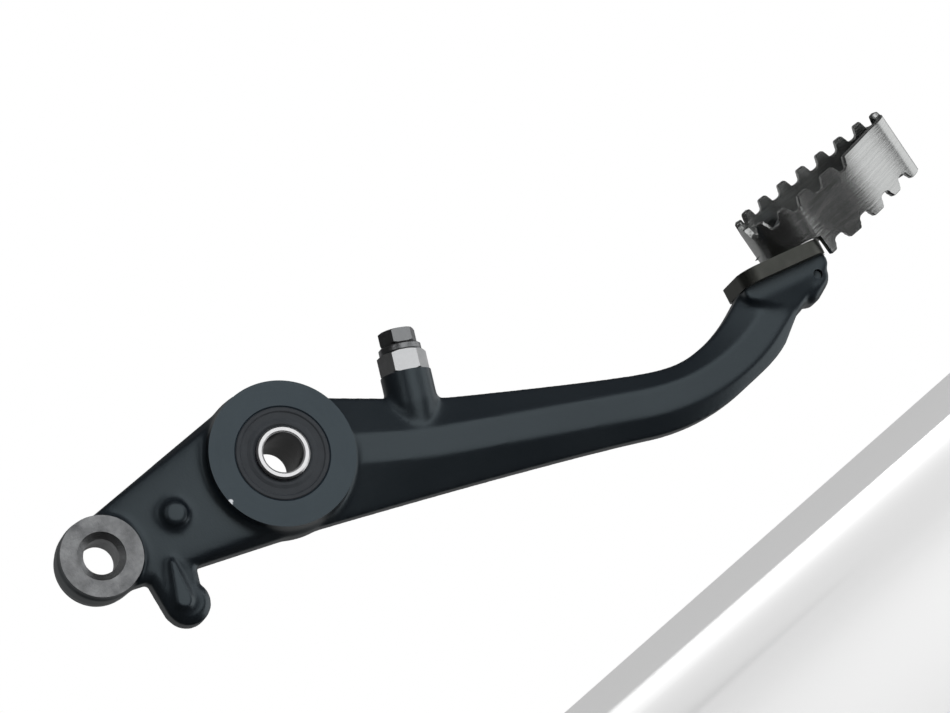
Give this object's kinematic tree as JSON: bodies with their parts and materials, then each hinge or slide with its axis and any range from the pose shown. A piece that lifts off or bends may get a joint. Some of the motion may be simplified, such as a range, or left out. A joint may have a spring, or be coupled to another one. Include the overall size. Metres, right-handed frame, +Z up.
{
  "type": "rear brake pedal",
  "caption": "Motorcycle rear brake pedal: forged arm with sealed pivot, link eye, adjustable stop screw and a toothed steel toe piece.",
  "frame": {"origin": "middle of the pivot sleeve's bore, halfway across the hub", "axes": "+X forward along the pedal towards the toe piece, +Y inboard along the pivot axis, +Z up, square to the tread"},
  "size_m": [0.2915, 0.0305, 0.0976],
  "materials": {
    "coated_arm": "satin black coating on a forged aluminium arm, machined bare on the eye faces",
    "ground_steel": "ground and hardened",
    "drawn_steel": "drawn and hardened",
    "cage_steel": "pressed",
    "roller_steel": "ground",
    "seal_rubber": "matt black nitrile",
    "case_steel": "pressed",
    "spring_steel": "drawn wire",
    "zinc_plate": "zinc plated",
    "base_steel": "pickled, dull grey",
    "brushed_stainless": "brushed stainless"
  },
  "bodies": {
    "sleeve": {"pivot_sleeve": "ground_steel"},
    "pedal": {"pedal_arm": "coated_arm", "needle_bearing_cup": "drawn_steel", "outer_seal": "seal_rubber", "outer_seal_case": "case_steel", "outer_seal_spring": "spring_steel", "inner_seal": "seal_rubber", "inner_seal_case": "case_steel", "inner_seal_spring": "spring_steel", "lock_nut": "zinc_plate", "toe_base": "base_steel", "tread_loop": "brushed_stainless", "front_toe_screw": "zinc_plate", "rear_toe_screw": "zinc_plate"},
    "roller_cage": {"needle_bearing_cage": "cage_steel", "needle_rollers": "roller_steel"},
    "stop_screw": {"stop_screw": "zinc_plate"}
  },
  "joints": [
    {"name": "pedal_press", "type": "hinge", "parent": "sleeve", "child": "pedal", "pos_m": [0, 0, 0], "axis": [0, 1, 0], "range_deg": [0, 15]},
    {"name": "roller_cage_turn", "type": "hinge", "parent": "sleeve", "child": "roller_cage", "pos_m": [0, 0, 0], "axis": [0, 1, 0], "range_deg": [0, 9]},
    {"name": "stop_screw_set", "type": "slide", "parent": "pedal", "child": "stop_screw", "axis": [0.4863, 0, 0.8738], "range_m": [0, 0.008]}
  ],
  "couplings": [
    {"joint": "roller_cage_turn", "follows": "pedal_press", "ratio": 0.5575}
  ]
}
